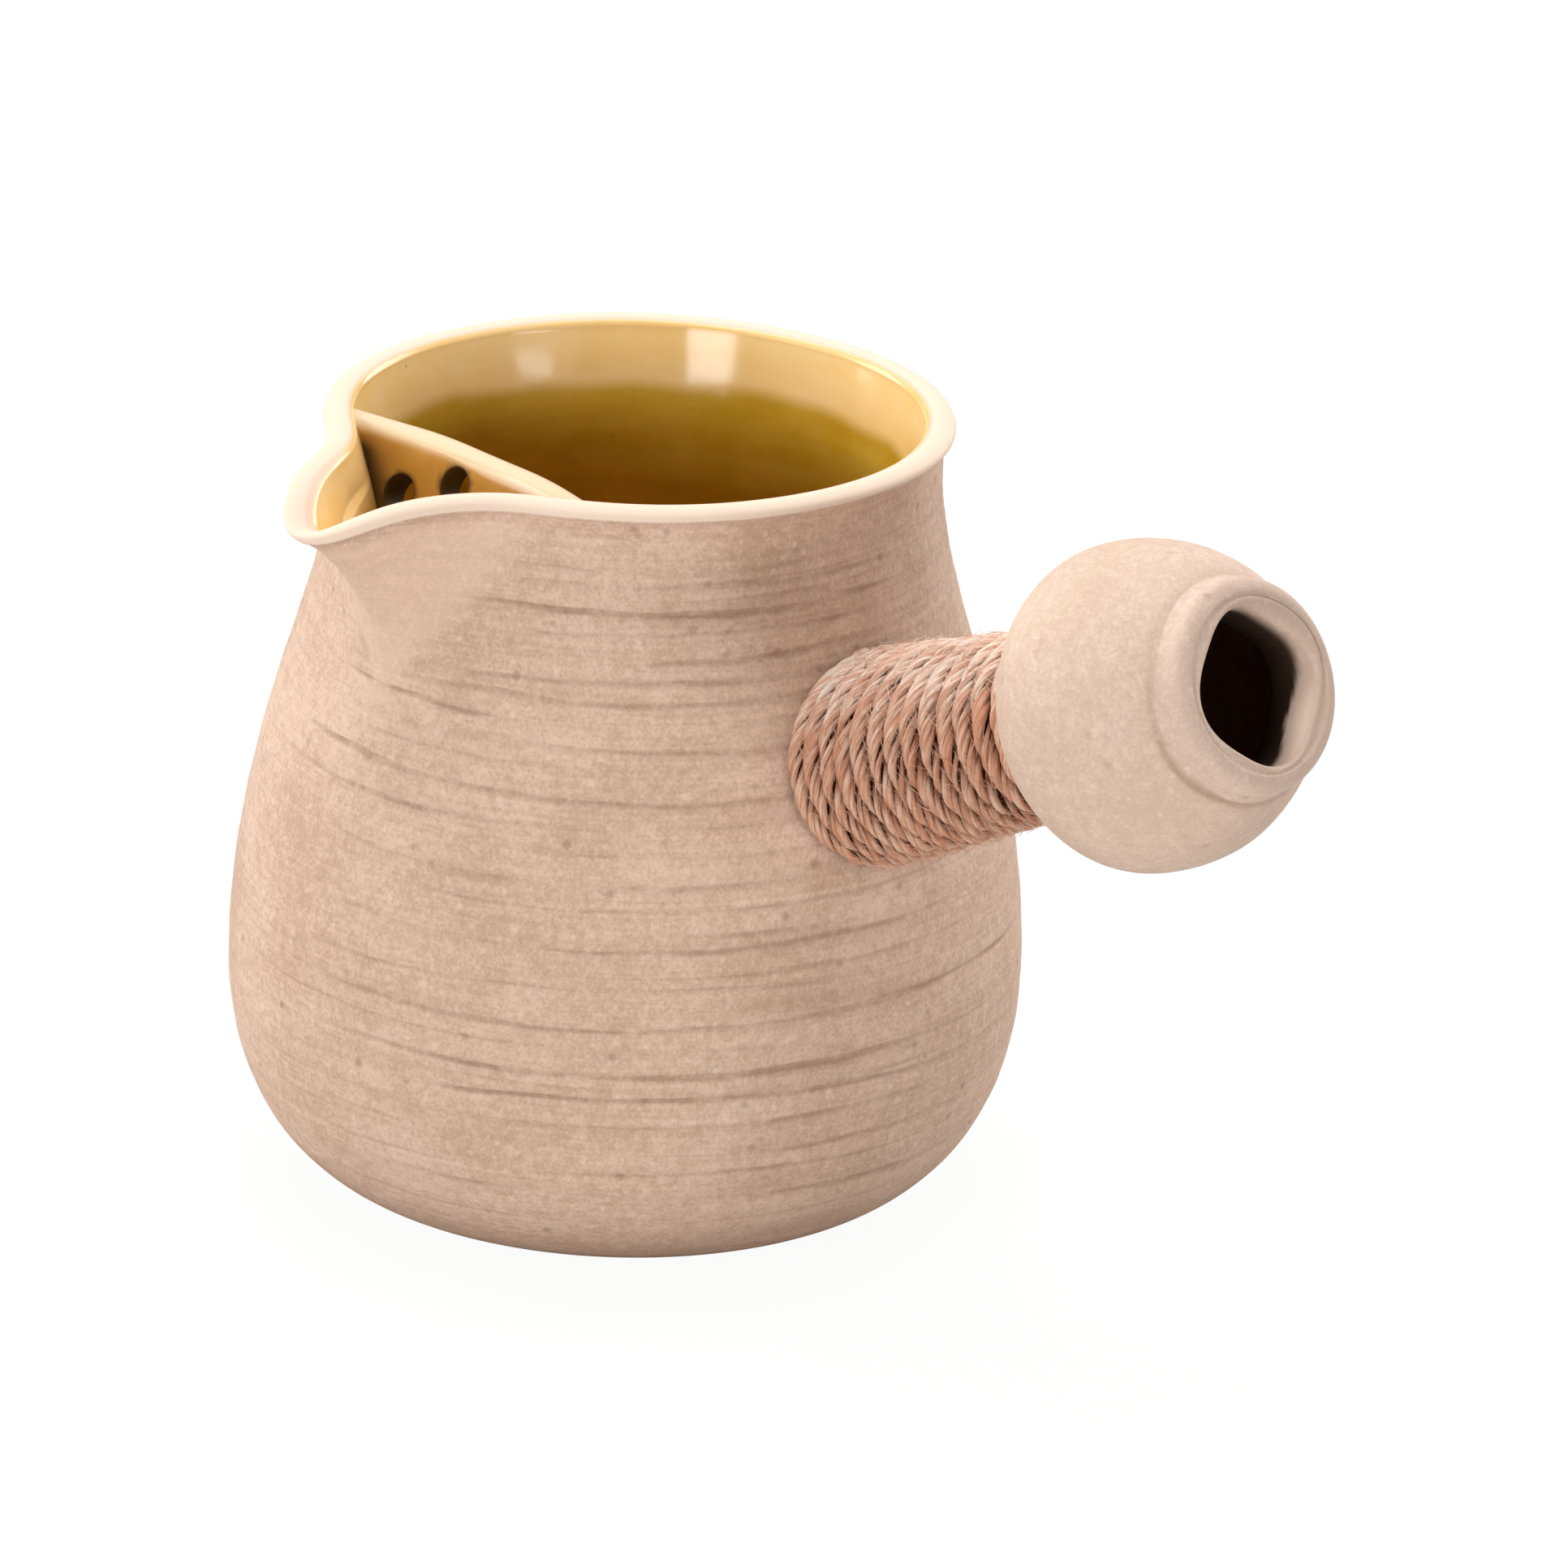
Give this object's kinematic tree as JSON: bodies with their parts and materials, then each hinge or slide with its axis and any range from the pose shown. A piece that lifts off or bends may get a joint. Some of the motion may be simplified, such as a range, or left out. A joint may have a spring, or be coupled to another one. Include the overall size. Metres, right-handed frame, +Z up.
{
  "type": "side-handled teapot",
  "caption": "Small round stoneware teapot without a lid: pulled spout with a pierced strainer wall, and a twine-bound side handle ending in a hollow bulb.",
  "frame": {"origin": "centre of the flat base, on the pot's own axis", "axes": "+Z up along the pot's axis; the handle rises towards +X; the spout points along -Y"},
  "size_m": [0.1544, 0.1016, 0.1018],
  "materials": {
    "stoneware": "matt unglazed clay with turning rings and dark specks",
    "pale_stoneware": "matt unglazed clay, paler",
    "amber_glaze": "glossy amber glaze",
    "glazed_strainer": "glossy amber glaze, pale along the top edge",
    "twine": "matt plied twine"
  },
  "bodies": {
    "root": {"pot_body": "stoneware", "glaze_lining": "amber_glaze", "strainer_wall": "glazed_strainer", "handle_stem": "stoneware", "handle_bulb": "pale_stoneware", "mouth_collar": "pale_stoneware", "twine_wrap": "twine"}
  },
  "joints": []
}
